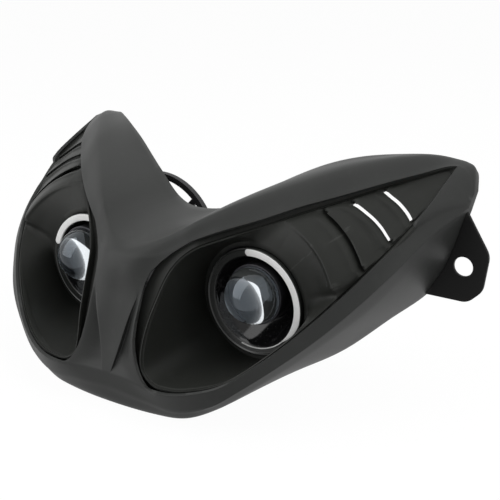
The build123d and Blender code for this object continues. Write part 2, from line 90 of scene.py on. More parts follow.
KEEL = [(0, -64.5, -73), (40, -62, -72.5), (63.4, -58.5, -69.5), (83.5, -50, -60),
        (102.5, -41, -46), (124.8, -24, -28), (143.5, -2, -11), (159.8, 25, 6.5),
        (172.8, 52, 27), (181, 80, 45), (190, 108, 61)]
REAR_LOW = [(0, -28, -73), (40, -24, -72.5), (63, -15, -69.5), (90, -3, -58), (110, 14, -48),
            (130, 42, -38), (148, 78, -22), (161, 112, -10), (178, 113, 20), (190, 114, 59)]
ROOF = [REAR_TOP, CREST, BROW]
FACE = [BROW, FACE_UPPER, FACE_LOWER, RIM]
WALL = [RIM, CREASE, KEEL, REAR_LOW]
# The nose ends and the wing tips start here, on the top and the low edge of the face
NOSE_TOP, NOSE_LOW = 43.6, 45.0
TIP_TOP, TIP_LOW, TIP_X = 174.5, 171.0, 190.0
# Stations down the nose, along a side from nose to tip, and on the tip
NOSE_STEPS, SIDE_STEPS, TIP_STEPS = 44, 72, 12

# Half width of the nose and of its raised middle strip, by the way down the face
NOSE_EDGE = [(0, NOSE_TOP), (0.02, 34), (0.05, 29), (0.11, 24.5), (0.2, 22.6), (0.333, 21.8),
             (0.55, 21.6), (0.667, 22.4), (0.76, 24), (0.84, 26.5), (0.905, 29.6), (0.95, 33),
             (0.985, 38), (1, NOSE_LOW)]
STRIP_EDGE = [(0, 26), (0.1, 20.5), (0.333, 18.6), (0.5, 14.6), (0.667, 10.6), (0.85, 6.6),
              (1, 3.6)]
# How far the flank beside the strip is sunk
STRIP_STEP = [(0, 0), (0.28, 0), (0.42, 1.8), (0.6, 3.6), (0.8, 3.8), (0.93, 2.4), (1, 0)]

# Mounting ear: corners x, z and rounding, its hole, and its middle in depth
EAR_CORNERS = [(188, 61, 0), (208.2, 29, 5), (204.8, 1, 5), (194, -9.3, 5), (160, -9.3, 0),
               (168, 12, 0), (180, 40, 0)]
EAR_HOLE_X, EAR_HOLE_Z, EAR_HOLE_R = 189, 17.6, 7.5
EAR_Y, EAR_HALF, EAR_EDGE = 108.5, 1.1, 0.35

# Raised line of the right inner panel, all the way round: x, y, z
BEAD = [(171.5, 115.5, 84.3), (158, 93.5, 82.2), (140, 67.5, 77), (121.5, 43.5, 70.2),
        (102, 21.5, 63.5), (81.8, 2, 55), (62, -16, 47.5), (46.8, -31, 40.3), (37.7, -42, 27.9),
        (33.3, -54, 7.9), (30.8, -62.5, -9.7), (29.6, -67.5, -27), (31.5, -69, -38),
        (38, -69.5, -44.5), (47, -70, -46.5), (66.4, -67.5, -44.5), (91, -56.4, -36.5),
        (112.8, -41.5, -18.8), (131.5, -23, 1), (147.5, 0.8, 21.6), (160.2, 31.3, 41.6),
        (168.6, 62.5, 58.8), (171.8, 93, 73)]
HOLE_R, SEAT_END, SEAT_Y, DISH = 40.8, 43.8, 3.0, 1.3
BEAD_LINES = 288
WING_REACH = 129.0

# Wing side of the pocket, in rows about the lamp: radius and depth at 45 degrees, how far
# the radius leans out and the depth comes forward for each degree below that
WING_ROWS = [(43.8, 0, 3.0, 0), (55.0, 0.08, 3.3, 0.12), (67.0, 0.171, 4.2, 0.33),
             (80.6, 0.233, 27.8, 0.36), (92.5, 0.467, 48.0, 0.2), (104.0, 0.486, 67.8, 0.2),
             (116.0, 0.486, 91.0, 0.2), (140.0, 0.486, 141.0, 0.2)]

# Louvres: row, the angles that the slot runs between, and how far its near edge is sunk. The
# first is blind and the others are cut through. The ridge lies before the slot
LOUVRES = [(3, 25, 59.5, 6.5), (4, 29.5, 56, 1.7), (5, 31, 50.5, 1.7)]
RIDGE, SLOT = 3.8, 2.3
RIDGE_HIGH, RIDGE_WIDE, RISE_RUN = 2.2, 1.4, 7.5
# Angles at which the wing side, and the swelling beside the lamp, begin, are full and end
WING_ANGLES, SWELL_ANGLES = (4, 20, 68, 95), (8, 20, 70, 82)
# How far the flange round the panel reaches out and back, and more so beside the nose
FLANGE_OUT, FLANGE_BACK, NOSE_OUT, NOSE_BACK = 8, 7, 8, -1.5
SLOT_SHARE = (0.86, 0.915, 0.972)

# Panel's section stations: row and offset or the share of the way where that is nearer,
# and the number of steps up to there
STATIONS = ([(None, 0, 0.0, 1), (1, 0, 0.3, 6), (2, -3, 0.54, 5), (2, 0, 0.6, 5), (2, 3, 0.66, 5)]
            + [(row, offset, share + step, count) for row, share in zip((3, 4, 5), SLOT_SHARE)
               for offset, step, count in ((-5, -0.032, 3), (-RIDGE, -0.024, 3), (-SLOT, -0.014, 3),
                                           (0, 0, 2), (0.06, 0.001, 1), (3.5, 0.012, 4))]
            + [(None, 0, 0.99, 4), (None, 0, 1.0, 2)])
# Place in that list of a louvre's slot, and the number of stations for each louvre
SLOT_STATION, LOUVRE_STATIONS = 7, 6

# Lamp, about its own axis: the projector sits off centre
PROJECTOR = (3.4, 7.6)
LENS_R, LENS_FRONT = 20.5, 3.8
HOLDER_R, HOLDER_RIM_R, HOLDER_LIP_R = LENS_R + 1.6, 24.3, 18.5
BOWL_FRONT, BOWL_DEPTH, BOWL_STEEP = 1.5, 11.5, 0.8
RING_R, RING_IN, RING_DEPTH = 40.0, 33.4, 9.0
GUIDE_IN, GUIDE_OUT, GUIDE_FULL, GUIDE_TAPER = 34.2, 39.4, 112.0, 32.0
GUIDE_TAIL, GUIDE_TIP = 62.0, 0.8
GUIDE_START = {"right": 100.0, "left": 165.0}

# Screws on the right side: angles, radius and depth of the ring's and of the can's ears',
# and the panel's places
RING_SCREWS = ((45, 135, 225, 315), 38, 11.2)
EAR_SCREWS = ((15.0, 75.0), 50, 12.7)
POSTS = [(59.3, 4, 56.5), (105.3, 44, 72), (64.3, -49, -53.3), (141, -3, 0.5)]

# Where the painted shade on the mask's ears begins, outwards, backwards and downwards, in metres:
# there the colour is darkened to stand in for the shadow that falls on the ears
EAR_SHADE_ZONE = ((0.16, 0.166), (-0.0045, -0.0035), (0.035, 0.045))

# Where the camera stands, in metres. Of each light: place, width, height, share of the key
# light's power, and whether gloss shows it
CAMERA_PLACE = (0.44508, -0.65705, 0.24098)
LIGHTS = {"left softbox": ((-0.75, -1.0, 0.55), 1.3, 2.2, 1.0, True),
          "overhead": ((0.25, 0.15, 1.2), 1.4, 1.2, 0.9, False),
          "right strip": ((1.2, 0.1, 0.9), 0.6, 1.2, 0.35, False)}


def table(points, x):
    """Value of a table of pairs at x, by straight lines."""
    for (a, u), (b, v) in zip(points, points[1:]):
        if x <= b:
            return u + (v - u) * (x - a) / (b - a)
    return points[-1][1]


def smooth_step(low, high, x):
    t = min(1.0, max(0.0, (x - low) / (high - low)))
    return t * t * (3 - 2 * t)


def window(x, start, full, fall, end):
    """Rises from 0 to 1 and falls back to 0."""
    return smooth_step(start, full, x) * (1 - smooth_step(fall, end, x))


def hermite(a, slope_a, b, slope_b, t):
    """Smooth way from a to b, with the given slopes at its ends."""
    return (a * (2 * t**3 - 3 * t**2 + 1) + slope_a * (t**3 - 2 * t**2 + t)
            + b * (3 * t**2 - 2 * t**3) + slope_b * (t**3 - t**2))


def along(points, x):
    """Depth and height on a guide line at x, by a smooth curve through its points."""
    last = len(points) - 2
    i = min(last, sum(1 for p in points[1:] if p[0] < x))
    a, b = points[i], points[i + 1]
    before = points[i - 1] if i else (-points[1][0], *points[1][1:])
    after = points[i + 2] if i < last else b
    span = b[0] - a[0]
    t = (x - a[0]) / span
    place = []
    for k in (1, 2):
        slope_a = (b[k] - before[k]) / (b[0] - before[0]) * span
        slope_b = (after[k] - a[k]) / (after[0] - a[0]) * span
        place.append(hermite(a[k], slope_a, b[k], slope_b, t))
    return Vector((x, *place))


def section(rows, x, sharp, ways, above=None, below=None):
    """Points across guide lines at x. Sharp lists the rows that keep a corner.

    Above and below are the next lines outside, which the ends flow into near the middle."""
    points = [along(row, abs(x)) for row in rows]
    soft = 1 - smooth_step(6, 26, abs(x))
    tangents = []
    for i, p in enumerate(points):
        a = points[i - 1] if i else above and along(above, abs(x))
        b = points[i + 1] if i < len(points) - 1 else below and along(below, abs(x))
        if a and b and i not in sharp:
            flow = (b - a) / ((p - a).length + (b - p).length)
            tangents.append((flow, 1.0 if 0 < i < len(points) - 1 else soft))
        else:
            tangents.append((Vector(), 0.0))
    found = []
    for way in ways:
        i = min(len(points) - 2, int(way))
        t = way - i
        a, b = points[i], points[i + 1]
        chord = b - a
        (flow_a, share_a), (flow_b, share_b) = tangents[i], tangents[i + 1]
        ma = chord * (1 - share_a) + flow_a * share_a * chord.length
        mb = chord * (1 - share_b) + flow_b * share_b * chord.length
        p = hermite(a, ma, b, mb, t)
        found.append(Vector((x, p.y, p.z)))
    return found


def roof_points(x):
    return section(ROOF, x, (), ways_through(2, 9), below=FACE_UPPER)


def face_point(x, way):
    return section(FACE, x, (), [3 * way], above=CREST)[0]


def ways_through(count, steps):
    return [i / steps for i in range(count * steps + 1)]


def add_grid(bm, rows, keep=None, closed=False):
    """Adds faces between rows of points; keep says which cells stay."""
    verts = [[bm.verts.new(p) for p in row] for row in rows]
    pairs = list(zip(verts, verts[1:] + ([verts[0]] if closed else [])))
    for i, (a, b) in enumerate(pairs):
        for j in range(len(a) - 1):
            if keep is None or keep(i, j):
                bm.faces.new((a[j], a[j + 1], b[j + 1], b[j]))
    return verts


def add_object(name, data):
    piece = bpy.data.objects.new(name, data)
    bpy.context.scene.collection.objects.link(piece)
    return piece


def plain_mesh(piece):
    """Mesh of the piece with its modifiers worked out."""
    graph = bpy.context.evaluated_depsgraph_get()
    graph.update()
    return bpy.data.meshes.new_from_object(piece.evaluated_get(graph))


def to_row(bm):
    """Moves the mesh to the row's frame, in metres."""
    for v in bm.verts:
        v.co = (v.co + SHIFT) * MM


def finish_mesh(bm, name, upward=None):
    """Welds, points the faces outwards and returns an object in metres in the row frame."""
    bmesh.ops.remove_doubles(bm, verts=bm.verts, dist=0.004)
    bmesh.ops.recalc_face_normals(bm, faces=bm.faces)
    if upward is not None:
        if sum(f.normal.dot(upward) * f.calc_area() for f in bm.faces) < 0:
            bmesh.ops.reverse_faces(bm, faces=bm.faces)
    to_row(bm)
    mesh = bpy.data.meshes.new(name)
    bm.to_mesh(mesh)
    bm.free()
    for face in mesh.polygons:
        face.use_smooth = True
    return add_object(name, mesh)


def apply_modifiers(piece):
    """Turns the piece and its modifiers into a plain mesh."""
    mesh = plain_mesh(piece)
    piece.modifiers.clear()
    old = piece.data
    piece.data = mesh
    mesh.name = piece.name
    if old.users == 0:
        bpy.data.meshes.remove(old)
    return piece


def thicken(piece, wall, edge, segments, angle):
    """Gives the skin its wall and rounds the edges sharper than the angle."""
    solid = piece.modifiers.new("wall", "SOLIDIFY")
    solid.thickness = wall * MM
    solid.offset = -1
    bevel = piece.modifiers.new("edges", "BEVEL")
    bevel.width = edge * MM
    bevel.segments = segments
    bevel.limit_method = "ANGLE"
    bevel.angle_limit = math.radians(angle)
    bevel.use_clamp_overlap = True
    bevel.miter_outer = "MITER_ARC"
    apply_modifiers(piece)


def settle(piece, node_names, finish):
    """Gives the piece its finish and its body, and hides the imported nodes that it stands for."""
    piece.data.materials.clear()
    piece.data.materials.append(finish)
    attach(piece, "root")
    if node_names:
        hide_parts(*node_names)


def tree_node(tree, kind, settings=None, inputs=None, out=0):
    """Adds a node and returns one of its outputs. A list of inputs is linked one by one."""
    node = tree.nodes.new(kind)
    for name, value in (settings or {}).items():
        setattr(node, name, value)
    for key, value in (inputs or {}).items():
        for item in value if isinstance(value, list) else [value]:
            if isinstance(item, Wire):
                item = item.socket
            if isinstance(item, bpy.types.NodeSocket):
                tree.links.new(item, node.inputs[key])
            else:
                node.inputs[key].default_value = item
    return node.outputs[out] if node.outputs else None


class Wire:
    """A shader socket on which plain arithmetic adds Math nodes."""

    def __init__(self, finish, socket):
        self.finish = finish
        self.socket = socket

    def math(self, operation, *values):
        inputs = dict(enumerate(values))
        return self.finish.node("ShaderNodeMath", {"operation": operation}, inputs)

    def __add__(self, other):
        return self.math("ADD", self, other)

    __radd__ = __add__

    def __sub__(self, other):
        return self.math("SUBTRACT", self, other)

    def __rsub__(self, other):
        return self.math("SUBTRACT", other, self)

    def __mul__(self, other):
        return self.math("MULTIPLY", self, other)

    __rmul__ = __mul__


class Finish:
    """A material in the making."""

    def __init__(self, name):
        self.material = bpy.data.materials.new(name)
        self.material.use_nodes = True
        self.tree = self.material.node_tree
        self.tree.nodes.clear()
        self.place = self.node("ShaderNodeTexCoord", out="Object")

    def node(self, kind, settings=None, inputs=None, out=0):
        return Wire(self, tree_node(self.tree, kind, settings, inputs, out))

    def noise(self, scale, detail=3.0, rough=0.5):
        return self.node("ShaderNodeTexNoise", None, {"Vector": self.place, "Scale": scale,
                                                      "Detail": detail, "Roughness": rough}, "Fac")

    def ramp(self, value, low, high):
        return self.node("ShaderNodeMapRange", {"clamp": True}, {0: value, 1: low, 2: high})

    def mix(self, factor, a, b):
        return self.node("ShaderNodeMix", {"data_type": "RGBA"}, {0: factor, 6: a, 7: b}, 2)

    def bump(self, height, distance):
        return self.node("ShaderNodeBump", None, {"Height": height, "Distance": distance})

    def principled(self, inputs):
        """Ends the material in one Principled shader."""
        shader = self.node("ShaderNodeBsdfPrincipled", None, inputs)
        self.node("ShaderNodeOutputMaterial", None, {"Surface": shader})
        return self.material


def moulded_plastic(name, colour, rough, grain=0.00003, wear=0.5, sheen=0.16):
    """Satin moulded plastic: fine spark grain, soft patches, and paler scuffs on edges.

    The mask's ears, found by their place, get painted shade: their colour is mixed towards near
    black to stand in for the shadow that falls on them."""
    finish = Finish(name)
    patches = finish.noise(14.0, 4.0)
    scuffs = finish.ramp(finish.noise(95.0, 7.0, 0.62), 0.56, 0.7)
    pointed = finish.node("ShaderNodeNewGeometry", out="Pointiness")
    edges = finish.ramp(pointed, 0.53, 0.6) * wear
    worn = edges * 0.55 + scuffs * 0.1 * wear
    split = [finish.node("ShaderNodeSeparateXYZ", None, {0: finish.place}, k) for k in (0, 1, 2)]
    # Painted shade: picks out the mask's ears by their place, where shadow falls on them
    ears = finish.ramp(split[0].math("ABSOLUTE", split[0]), *EAR_SHADE_ZONE[0])
    ears = ears * finish.ramp(split[1], *EAR_SHADE_ZONE[1])
    ears = ears * (1 - finish.ramp(split[2], *EAR_SHADE_ZONE[2]))
    pale = tuple(min(1.0, 2.2 * c + 0.03) for c in colour)
    deep = tuple(0.82 * c for c in colour)
    base = finish.mix(patches, (*deep, 1), (*[1.18 * c for c in colour], 1))
    base = finish.mix(worn, base, (*pale, 1))
    # Painted shade: the ears are mixed towards near black in place of the shadow on them
    base = finish.mix(ears * 0.95, base, (0.002, 0.002, 0.002, 1))
    grains = finish.noise(2600.0, 2.0, 0.6)
    normal = finish.bump(grains + patches * 2.0, grain)
    return finish.principled({
        "Base Color": base, "Roughness": rough + (patches - 0.5) * 0.1 + worn * 0.1,
        "Normal": normal, "IOR": 1.5, "Specular IOR Level": sheen})


def gloss_plastic(name, colour):
    """Gloss plastic with a little dust."""
    finish = Finish(name)
    dust = finish.ramp(finish.noise(320.0, 6.0), 0.55, 0.75)
    base = finish.mix(dust * 0.35, (*colour, 1), (0.05, 0.05, 0.05, 1))
    return finish.principled({
        "Base Color": base, "Roughness": 0.08 + dust * 0.12, "IOR": 1.5, "Specular IOR Level": 0.3,
        "Normal": finish.bump(finish.noise(60.0, 2.0), 0.00004)})


def milky_guide(name, colour):
    """Milky light guide: pale plastic with faint bands, and a painted glow that brightens it though
    it is not lit.
    """
    finish = Finish(name)
    bands = finish.noise(420.0, 2.0)
    base = finish.mix(bands, (*[0.9 * c for c in colour], 1), (*colour, 1))
    return finish.principled({
        "Base Color": base, "Roughness": 0.3 + bands * 0.1, "IOR": 1.49,
        # Painted light: a faint emission brightens the unlit guide
        "Emission Color": base, "Emission Strength": 0.12,
        "Normal": finish.bump(bands, 0.00005)})


def clear_glass(name):
    """Faintly blue glass with light smears."""
    finish = Finish(name)
    smears = finish.ramp(finish.noise(70.0, 5.0), 0.5, 0.8)
    return finish.principled({
        "Base Color": (0.88, 0.93, 0.97, 1), "Specular Tint": (0.8, 0.9, 1.0, 1),
        "Roughness": 0.004 + smears * 0.01, "IOR": 1.52, "Transmission Weight": 1.0})


def brushed_metal(name, colour, rough=0.3, scale=700.0):
    """Metal with lines along one axis and soft stains."""
    finish = Finish(name)
    stretched = finish.node("ShaderNodeMapping", None, {"Vector": finish.place,
                                                        "Scale": (1.0, 0.06, 1.0)})
    lines = finish.node("ShaderNodeTexNoise", None, {"Vector": stretched, "Scale": scale,
                                                     "Detail": 4.0}, "Fac")
    stain = finish.noise(40.0, 5.0)
    base = finish.mix(stain * 0.5, (*colour, 1), (*[0.7 * c for c in colour], 1))
    return finish.principled({
        "Base Color": base, "Metallic": 1.0, "Roughness": rough + lines * 0.15,
        "Normal": finish.bump(lines, 0.00002)})


def soft_rubber(name, colour):
    """Dull rubber with a pale bloom."""
    finish = Finish(name)
    bloom = finish.ramp(finish.noise(120.0, 6.0), 0.45, 0.75)
    base = finish.mix(bloom * 0.4, (*colour, 1), (0.09, 0.09, 0.09, 1))
    return finish.principled({
        "Base Color": base, "Roughness": 0.65 + bloom * 0.15,
        "Normal": finish.bump(finish.noise(1500.0), 0.00006)})


FINISHES = {}


def finish_for(key):
    """Material of the given kind, made once."""
    if key not in FINISHES:
        looks = bpy.context.scene.headlight_finish
        black, dark = tuple(looks.mask_colour), tuple(looks.panel_colour)
        makers = {
            "mask": lambda: moulded_plastic("satin black moulding", black, looks.mask_roughness),
            "panel": lambda: moulded_plastic("satin black panel", dark, looks.panel_roughness,
                                             wear=0.4, sheen=0.12),
            "bezel": lambda: moulded_plastic("dark ring plastic", (0.012, 0.013, 0.012), 0.24,
                                             grain=0.00001, wear=0.25, sheen=0.4),
            "can": lambda: moulded_plastic("plain black can", (0.02, 0.02, 0.021), 0.5, wear=0.2),
            "bowl": lambda: gloss_plastic("gloss black dish", (0.006, 0.006, 0.0065)),
            "guide": lambda: milky_guide("milky light guide", tuple(looks.guide_colour)),
            "glass": lambda: clear_glass("clear lens"),
            "holder": lambda: brushed_metal("dark cast holder", (0.05, 0.05, 0.055), 0.38),
            "steel": lambda: brushed_metal("plain steel", (0.45, 0.45, 0.46)),
            "zinc": lambda: brushed_metal("zinc screws", (0.5, 0.5, 0.52), 0.34),
            "bright": lambda: brushed_metal("bright reflector", (0.2, 0.21, 0.23), 0.3, 300.0),
            "board": lambda: moulded_plastic("dark board", (0.02, 0.035, 0.025), 0.5, wear=0.1),
            "rubber": lambda: soft_rubber("black rubber cap", (0.022, 0.022, 0.022)),
        }
        FINISHES[key] = makers[key]()
    return FINISHES[key]


def nose_widths(way):
    """Half widths of the raised strip and of the nose at one way down."""
    edge = table(NOSE_EDGE, way)
    return min(table(STRIP_EDGE, way), edge - 3), edge


def nose_stations(way):
    """Places across the nose at one way down: strip, its step, then the flank."""
    strip, edge = nose_widths(way)
    right = [strip * i / 8 for i in range(9)]
    right += [strip + 0.35, strip + 0.9]
    right += [strip + 0.9 + (edge - strip - 0.9) * i / 8 for i in range(1, 9)]
    return [-x for x in reversed(right[1:])] + right


def nose_row(way):
    strip, edge = nose_widths(way)
    step = table(STRIP_STEP, way)
    row = []
    for x in nose_stations(way):
        p = face_point(x, way)
        if abs(x) > strip + 0.3:
            fall = 1 - smooth_step(strip + 0.9, edge, abs(x))
            p.y += step * (0.9 if abs(x) < strip + 0.8 else 1) * fall
        row.append(p)
    return row


def mask_skin(bm):
    """Outer surface of the mask: roof, nose, wing tips and lower wall."""
    marks = {w for w, _ in NOSE_EDGE} | {0.01, 0.035, 0.99}
    add_grid(bm, [nose_row(way) for way in sorted(marks.union(ways_through(1, NOSE_STEPS)))])
    ends = ways_through(1, TIP_STEPS)
    top, low = ([a + (b - a) * i / SIDE_STEPS for i in range(1, SIDE_STEPS + 1)]
                + [b + (TIP_X - b) * u for u in ends[1:]]
                for a, b in ((NOSE_TOP, TIP_TOP), (NOSE_LOW, TIP_LOW)))
    xs = [-x for x in reversed(top)] + nose_stations(0) + top
    add_grid(bm, [roof_points(x) for x in xs])
    xs = [-x for x in reversed(low)] + nose_stations(1) + low
    add_grid(bm, [section(WALL, x, (1,), ways_through(3, 7)) for x in xs])
    for side in (1, -1):
        rows = []
        for way in ends:
            start = TIP_TOP - (TIP_TOP - TIP_LOW) * way**2
            rows.append([face_point(side * (start + (TIP_X - start) * u), way) for u in ends])
        add_grid(bm, rows)
        rim = roof_points(side * TIP_X)
        rim += [face_point(side * TIP_X, way) for way in ends[1:-1]]
        rim += section(WALL, side * TIP_X, (1,), ways_through(3, 7))
        verts = [bm.verts.new(p) for p in rim]
        hub = bm.verts.new(sum(rim, Vector()) / len(rim))
        for a, b in zip(verts, verts[1:] + verts[:1]):
            bm.faces.new((a, b, hub))


def ear_mesh(side):
    """Flat mounting ear with rounded corners and its hole, in the row's frame."""
    outline = []
    for i, (x, z, radius) in enumerate(EAR_CORNERS):
        here = Vector((x, z))
        if not radius:
            outline.append(here)
            continue
        a, b = ((Vector(EAR_CORNERS[k % len(EAR_CORNERS)][:2]) - here).normalized()
                for k in (i - 1, i + 1))
        outline += [here + a * radius * (1 - t)**2 + b * radius * t**2 for t in ways_through(1, 8)]
    turns = [t * math.pi / 24 for t in range(48)]
    hole = [Vector((EAR_HOLE_X + EAR_HOLE_R * math.cos(t), EAR_HOLE_Z + EAR_HOLE_R * math.sin(t)))
            for t in turns]
    curve = bpy.data.curves.new("ear", "CURVE")
    curve.dimensions = "2D"
    curve.fill_mode = "BOTH"
    for loop in (outline, hole):
        spline = curve.splines.new("POLY")
        spline.points.add(len(loop) - 1)
        for point, place in zip(spline.points, loop):
            point.co = (place.x, place.y, 0, 1)
        spline.use_cyclic_u = True
    curve.extrude = EAR_HALF
    curve.bevel_depth = EAR_EDGE
    curve.offset = -EAR_EDGE
    curve.bevel_resolution = 2
    flat = add_object("ear", curve)
    mesh = plain_mesh(flat)
    bpy.data.objects.remove(flat)
    bm = bmesh.new()
    bm.from_mesh(mesh)
    for v in bm.verts:
        v.co = Vector((side * v.co.x, EAR_Y - v.co.z, v.co.y))
    bmesh.ops.recalc_face_normals(bm, faces=bm.faces)
    to_row(bm)
    bm.to_mesh(mesh)
    bm.free()
    return mesh


def bead_points():
    """Points all round the bead, evenly spaced by a smooth closed curve."""
    points = [Vector(p) for p in BEAD]
    count = len(points)
    fine = []
    for i in range(count):
        a, b, c, d = (points[(i + k) % count] for k in (-1, 0, 1, 2))
        reach = (c - b).length
        mb = (c - a) / ((b - a).length + reach) * reach
        mc = (d - b) / (reach + (d - c).length) * reach
        fine += [hermite(b, mb, c, mc, t) for t in ways_through(1, 40)[:-1]]
    pairs = list(zip(fine, fine[1:] + fine[:1]))
    total = sum((b - a).length for a, b in pairs)
    spaced, run, nearest = [], 0.0, 0.0
    for a, b in pairs:
        while nearest <= run + 1e-6 and len(spaced) < BEAD_LINES:
            spaced.append(a.copy())
            nearest += total / BEAD_LINES
        run += (b - a).length
    return spaced


def wing_row(row, turn):
    """Radius and depth of a row of the wing side at an angle."""
    below = 45 - min(65.0, max(20.0, turn))
    middle, lean, depth, fall = WING_ROWS[row]
    return middle + lean * below, depth - fall * below


def wing_depth(radius, turn):
    """Depth of the pocket's wing side, smooth from row to row and never overshooting."""
    places = [wing_row(row, turn) for row in range(len(WING_ROWS))]
    rates = [(b[1] - a[1]) / (b[0] - a[0]) for a, b in zip(places, places[1:])]
    slopes = [rates[0]] + [0 if a * b <= 0 else 2 * a * b / (a + b)
                           for a, b in zip(rates, rates[1:])] + [rates[-1]]
    i = max(i for i in range(len(rates)) if not i or places[i][0] < radius)
    (r0, d0), (r1, d1) = places[i], places[i + 1]
    span = r1 - r0
    return hermite(d0, slopes[i] * span, d1, slopes[i + 1] * span, (radius - r0) / span)


def relief(radius, turn, rise):
    """How far the pocket's face stands proud of its plain curve, with its louvres."""
    lift = window(turn, *SWELL_ANGLES) * math.exp(-((radius - wing_row(2, turn)[0]) / 1.5)**2)
    for row, low, high, sink in LOUVRES:
        here = window(turn, low - 4, low + 1, high - 1, high + 4)
        gap = radius - wing_row(row, turn)[0]
        if gap > 0.03:
            lift += here * rise * (1 - smooth_step(0, RISE_RUN, gap))
        elif gap > -8:
            lift += here * (RIDGE_HIGH * math.exp(-((gap + RIDGE + 0.3) / RIDGE_WIDE)**2)
                            - sink * smooth_step(-RIDGE, -SLOT, gap))
    return lift


def panel_section(p, rise):
    """Points from the seat round the lamp hole to the flange, the angle, and which are limits."""
    across, up = p.x - LAMP_X, p.z
    reach = math.hypot(across, up)
    turn = math.degrees(math.atan2(up, across))
    far = max(0.0, (reach - SEAT_END) / (WING_REACH - SEAT_END))
    power = 1 + DISH * far
    wing = window(turn, *WING_ANGLES)
    miss = p.y - wing_depth(reach, turn)
    line = [(HOLE_R, SEAT_Y + 1.6), (HOLE_R, SEAT_Y)]
    radii, met = [], []
    for row, offset, share, count in STATIONS:
        radius = SEAT_END + share * (reach - SEAT_END)
        limit = radius + 1 if row is None else wing_row(row, turn)[0] + offset
        last = radii[-1] if radii else min(radius, limit)
        radii += [last + (min(radius, limit) - last) * k / count for k in range(1, count + 1)]
        met.append((len(radii), limit <= radius))
    for radius in radii:
        share = max(0.0, (radius - SEAT_END) / (reach - SEAT_END))
        depth = SEAT_Y + (p.y - SEAT_Y) * share**power
        depth += wing * (wing_depth(radius, turn) + miss * share**3 - depth)
        fade = window(share, 0.02, 0.1, 0.975, 1.0)
        line.append((radius, depth - relief(radius, turn, rise) * fade))
    size, tail = 1 - 0.8 * far, 1 - 0.5 * far
    nose = max(0.0, -across / reach)**2
    line += [(reach + 0.7 * size, p.y - 0.15), (reach + 1.7 * size, p.y + 5.5 * size),
             (reach + (FLANGE_OUT + NOSE_OUT * nose) * tail,
              p.y + (FLANGE_BACK + NOSE_BACK * nose) * tail)]
    dx, dz = across / reach, up / reach
    return [Vector((LAMP_X + dx * r, y, dz * r)) for r, y in line], turn, met


def panel_mesh(side, rise):
    bm = bmesh.new()
    rows, turns, marks = [], [], []
    for p in bead_points():
        row, turn, met = panel_section(p, rise)
        rows.append([Vector((side * v.x, v.y, v.z)) for v in row])
        turns.append(turn)
        marks.append(met)

    def keep(i, j):
        for k, (_, low, high, _) in list(enumerate(LOUVRES))[1:]:
            slot = SLOT_STATION + LOUVRE_STATIONS * k
            (start, _), (end, whole) = marks[i][slot:slot + 2]
            if whole and low + 0.5 < turns[i] < high - 0.5 and start + 1 <= j < end + 1:
                return False
        return True

    add_grid(bm, rows, keep, closed=True)
    return bm


def at_side(bm, side):
    """Moves a lamp piece, drawn about the right lamp's axis, to its side."""
    for v in bm.verts:
        v.co.x = side * (v.co.x + LAMP_X)


def turned_piece(name, profile, side, centre=(0, 0), segments=128):
    """Object from a profile of radius and height, turned about the axis of a lamp."""
    rows = []
    for turn in [2 * math.pi * i / segments for i in range(segments)]:
        c, s = math.cos(turn), math.sin(turn)
        rows.append([Vector((centre[0] + r * c, -z, centre[1] + r * s)) for r, z in profile])
    bm = bmesh.new()
    add_grid(bm, rows, closed=True)
    at_side(bm, side)
    return finish_mesh(bm, name)


def rounded(profile, radius):
    """Closed profile with its corners rounded."""
    points = [Vector(p) for p in profile]
    out = []
    for i, here in enumerate(points):
        a = points[i - 1] - here
        b = points[(i + 1) % len(points)] - here
        cut = min(radius, 0.45 * a.length, 0.45 * b.length)
        a, b = a.normalized() * cut, b.normalized() * cut
        for t in ways_through(1, 3):
            out.append(tuple(here + a * (1 - t)**2 + b * t**2))
    return out + [out[0]]


def guide_mesh(start):
    """Crescent light guide about the lamp's axis: a round blunt end, a taper, a thin tail."""
    bm = bmesh.new()
    middle, half = (GUIDE_IN + GUIDE_OUT) / 2, (GUIDE_OUT - GUIDE_IN) / 2
    sweep = GUIDE_FULL + GUIDE_TAPER + GUIDE_TAIL
    round_end = math.degrees(half / middle)
    stops = [round_end * (1 - math.cos(math.pi * i / 16)) for i in range(9)]
    stops += [round_end + (sweep - round_end) * i / 150 for i in range(1, 151)]
    rows = []
    for stop in stops:
        inner, outer = GUIDE_IN, GUIDE_OUT
        if stop < round_end:
            wide = half * math.sqrt(max(0.0004, 1 - (1 - stop / round_end)**2))
            inner, outer = middle - wide, middle + wide
        elif stop > GUIDE_FULL:
            t = min(1.0, (stop - GUIDE_FULL) / GUIDE_TAPER)
            outer = GUIDE_OUT + (GUIDE_IN + GUIDE_TIP - GUIDE_OUT) * (0.6 * t + 0.4 * t * t)
            tail = max(0.0, (stop - GUIDE_FULL - GUIDE_TAPER) / GUIDE_TAIL)
            outer -= 0.5 * GUIDE_TIP * tail
        turn = math.radians(start - stop)
        soft = min(0.3, 0.3 * (outer - inner))
        profile = [(inner, 2.0), (inner, soft), (inner + 0.3 * soft, 0.3 * soft), (inner + soft, 0),
                   (outer - soft, 0), (outer - 0.3 * soft, 0.3 * soft), (outer, soft), (outer, 2.0)]
        rows.append([Vector((r * math.cos(turn), d - 0.1, r * math.sin(turn)))
                     for r, d in profile + profile[:1]])
    verts = add_grid(bm, rows)
    for row in (verts[0], verts[-1]):
        bm.faces.new(row[:-1])
    return bm


def new_tree(name, sizes):
    """Geometry node tree with named number inputs and a geometry output."""
    tree = bpy.data.node_groups.new(name, "GeometryNodeTree")
    tree.interface.new_socket("Geometry", in_out="INPUT", socket_type="NodeSocketGeometry")
    for size, value in sizes.items():
        kind = "NodeSocketInt" if isinstance(value, int) else "NodeSocketFloat"
        socket = tree.interface.new_socket(size, in_out="INPUT", socket_type=kind)
        socket.default_value = value
    tree.interface.new_socket("Geometry", in_out="OUTPUT", socket_type="NodeSocketGeometry")
    return tree


